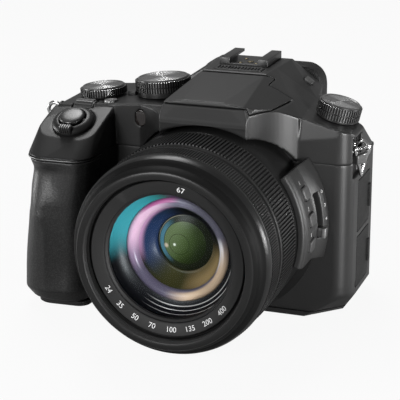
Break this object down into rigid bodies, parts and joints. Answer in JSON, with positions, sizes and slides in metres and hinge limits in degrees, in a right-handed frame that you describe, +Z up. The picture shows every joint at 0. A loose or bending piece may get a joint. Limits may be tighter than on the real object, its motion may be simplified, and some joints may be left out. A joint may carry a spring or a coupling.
{
  "type": "bridge camera",
  "caption": "Bridge camera with a large fixed zoom lens, deep hand grip, viewfinder hump with pop-up flash, turning dials and a swing-out screen.",
  "frame": {"origin": "mouth of the tripod socket, in the base under the lens axis", "axes": "X to the right seen from the front, the lens points along -Y, Z up"},
  "size_m": [0.1483, 0.1337, 0.1019],
  "materials": {
    "shell": "moulded matte",
    "trim": "satin",
    "grip": "pebbled",
    "ring": "ribbed",
    "dial": "spun, dark anodised",
    "button": "satin",
    "silver": "satin",
    "chrome": "polished",
    "steel": "brushed",
    "brass": "turned",
    "glass": "coated",
    "screen": "dark",
    "lamp": "clear amber",
    "diffuser": "ribbed clear",
    "board": "circuit board",
    "sensor": "glossy",
    "cell": "wrapped cell"
  },
  "bodies": {
    "body": {"front_shell": "shell", "rear_shell": "shell", "top_cover": "shell", "lens_collar": "shell", "barrel_panel": "shell", "base_plate": "trim", "jack_block": "trim", "lens_tube": "trim", "front_bezel": "trim", "retaining_ring": "trim", "mic_grille": "trim", "iris_ring": "trim", "grip_rubber": "grip", "thumb_rest": "grip", "eyecup": "grip", "strap_lugs": "chrome", "base_screws": "steel", "hot_shoe": "steel", "flash_pin": "steel", "tripod_socket": "brass", "front_lens": "glass", "inner_lens": "glass", "rear_lens": "glass", "eyepiece_lens": "glass", "af_lamp": "lamp", "main_board": "board", "image_sensor": "sensor", "battery": "cell", "memory_card": "cell"},
    "zoom_ring": {"zoom_ring": "ring"},
    "focus_ring": {"focus_ring": "ring"},
    "nd_slider": {"nd_slider": "trim"},
    "fn_button_1": {"fn_button_1": "button"},
    "fn_button_2": {"fn_button_2": "button"},
    "fn_button_3": {"fn_button_3": "button"},
    "shutter_button": {"shutter_button": "dial"},
    "zoom_lever": {"zoom_lever": "trim"},
    "front_dial": {"front_dial": "ring"},
    "rear_dial": {"rear_dial": "dial"},
    "mode_dial": {"mode_dial": "dial"},
    "drive_dial": {"drive_dial": "dial"},
    "power_switch": {"power_switch": "trim"},
    "record_button": {"record_button": "silver"},
    "flash_switch": {"flash_switch": "trim"},
    "diopter_wheel": {"diopter_wheel": "trim"},
    "battery_door": {"battery_door": "trim"},
    "door_upper": {"door_upper": "trim"},
    "door_lower": {"door_lower": "trim"},
    "strap_ring_left": {"strap_ring_left": "chrome"},
    "strap_ring_right": {"strap_ring_right": "chrome"},
    "cursor_pad": {"cursor_pad": "button"},
    "menu_button": {"menu_button": "button"},
    "play_button": {"play_button": "button"},
    "lock_button": {"lock_button": "button"},
    "focus_lever": {"focus_lever": "trim"},
    "flash_head": {"flash_lid": "shell", "flash_lamp": "diffuser"},
    "lcd": {"lcd_arm": "trim", "lcd_frame": "trim", "lcd_glass": "screen"}
  },
  "joints": [
    {"name": "zoom_ring_turn", "type": "hinge", "parent": "body", "child": "zoom_ring", "pos_m": [0, -0.055, 0.042], "axis": [0, -1, 0], "continuous": true},
    {"name": "focus_ring_turn", "type": "hinge", "parent": "body", "child": "focus_ring", "pos_m": [0, -0.072, 0.042], "axis": [0, -1, 0], "continuous": true},
    {"name": "nd_slider_turn", "type": "hinge", "parent": "body", "child": "nd_slider", "pos_m": [0, -0.0266, 0.042], "axis": [0, -1, 0], "range_deg": [0, 18]},
    {"name": "fn_button_1_slide", "type": "slide", "parent": "body", "child": "fn_button_1", "axis": [-0.9272, 0, -0.3746], "range_m": [0, 0.0006], "stiffness_N_per_m": 800},
    {"name": "fn_button_2_slide", "type": "slide", "parent": "body", "child": "fn_button_2", "axis": [-0.9907, 0, -0.1357], "range_m": [0, 0.0006], "stiffness_N_per_m": 800},
    {"name": "fn_button_3_slide", "type": "slide", "parent": "body", "child": "fn_button_3", "axis": [-0.9938, 0, 0.1115], "range_m": [0, 0.0006], "stiffness_N_per_m": 800},
    {"name": "shutter_button_slide", "type": "slide", "parent": "body", "child": "shutter_button", "axis": [0, 0.4067, -0.9135], "range_m": [0, 0.0012], "stiffness_N_per_m": 800},
    {"name": "zoom_lever_turn", "type": "hinge", "parent": "body", "child": "zoom_lever", "pos_m": [-0.061, -0.033, 0.0791], "axis": [0, -0.4067, 0.9135], "range_deg": [-25, 25], "stiffness_Nm_per_rad": 0.03},
    {"name": "front_dial_turn", "type": "hinge", "parent": "body", "child": "front_dial", "pos_m": [-0.0614, -0.0186, 0.08096], "axis": [1, 0, 0], "continuous": true},
    {"name": "rear_dial_turn", "type": "hinge", "parent": "body", "child": "rear_dial", "pos_m": [-0.059, -0.0045, 0.08495], "axis": [-0.0785, 0, 0.9969], "continuous": true},
    {"name": "mode_dial_turn", "type": "hinge", "parent": "body", "child": "mode_dial", "pos_m": [-0.0315, -0.0025, 0.08712], "axis": [-0.0785, 0, 0.9969], "continuous": true},
    {"name": "drive_dial_turn", "type": "hinge", "parent": "body", "child": "drive_dial", "pos_m": [0.0465, -0.005, 0.08363], "axis": [0.2419, 0, 0.9703], "continuous": true},
    {"name": "power_switch_slide", "type": "slide", "parent": "body", "child": "power_switch", "axis": [0, 1, 0], "range_m": [0, 0.0036]},
    {"name": "record_button_slide", "type": "slide", "parent": "body", "child": "record_button", "axis": [0.0785, 0, -0.9969], "range_m": [0, 0.0006], "stiffness_N_per_m": 800},
    {"name": "flash_head_turn", "type": "hinge", "parent": "body", "child": "flash_head", "pos_m": [0, -0.0035, 0.0938], "axis": [-1, 0, 0], "range_deg": [0, 45]},
    {"name": "flash_switch_slide", "type": "slide", "parent": "body", "child": "flash_switch", "axis": [0, 1, 0], "range_m": [0, 0.003]},
    {"name": "diopter_wheel_turn", "type": "hinge", "parent": "body", "child": "diopter_wheel", "pos_m": [-0.024, 0.029, 0.0834], "axis": [1, 0, 0], "range_deg": [-100, 100]},
    {"name": "lcd_turn", "type": "hinge", "parent": "body", "child": "lcd", "pos_m": [0.0515, 0.0209, 0.0359], "axis": [0, 0, -1], "range_deg": [0, 180]},
    {"name": "battery_door_turn", "type": "hinge", "parent": "body", "child": "battery_door", "pos_m": [-0.0476, -0.01, 0.001], "axis": [0, -1, 0], "range_deg": [0, 95]},
    {"name": "door_upper_turn", "type": "hinge", "parent": "body", "child": "door_upper", "pos_m": [0.0565, -0.008, 0.047], "axis": [0, 0, -1], "range_deg": [0, 100]},
    {"name": "door_lower_turn", "type": "hinge", "parent": "body", "child": "door_lower", "pos_m": [0.0565, -0.008, 0.022], "axis": [0, 0, -1], "range_deg": [0, 100]},
    {"name": "strap_ring_right_turn", "type": "hinge", "parent": "body", "child": "strap_ring_right", "pos_m": [0.059, -0.011, 0.0733], "axis": [0, -1, 0], "range_deg": [-12, 150]},
    {"name": "strap_ring_left_turn", "type": "hinge", "parent": "body", "child": "strap_ring_left", "pos_m": [-0.0815, -0.008, 0.0775], "axis": [0, 1, 0], "range_deg": [-8, 150]},
    {"name": "cursor_pad_slide", "type": "slide", "parent": "body", "child": "cursor_pad", "axis": [0, -1, 0], "range_m": [0, 0.0006], "stiffness_N_per_m": 800},
    {"name": "menu_button_slide", "type": "slide", "parent": "body", "child": "menu_button", "axis": [0, -1, 0], "range_m": [0, 0.0006], "stiffness_N_per_m": 800},
    {"name": "play_button_slide", "type": "slide", "parent": "body", "child": "play_button", "axis": [0, -1, 0], "range_m": [0, 0.0006], "stiffness_N_per_m": 800},
    {"name": "lock_button_slide", "type": "slide", "parent": "body", "child": "lock_button", "axis": [0, -1, 0], "range_m": [0, 0.0006], "stiffness_N_per_m": 800},
    {"name": "focus_lever_turn", "type": "hinge", "parent": "body", "child": "focus_lever", "pos_m": [-0.038, 0.02, 0.06], "axis": [0, 1, 0], "range_deg": [-30, 30]}
  ]
}
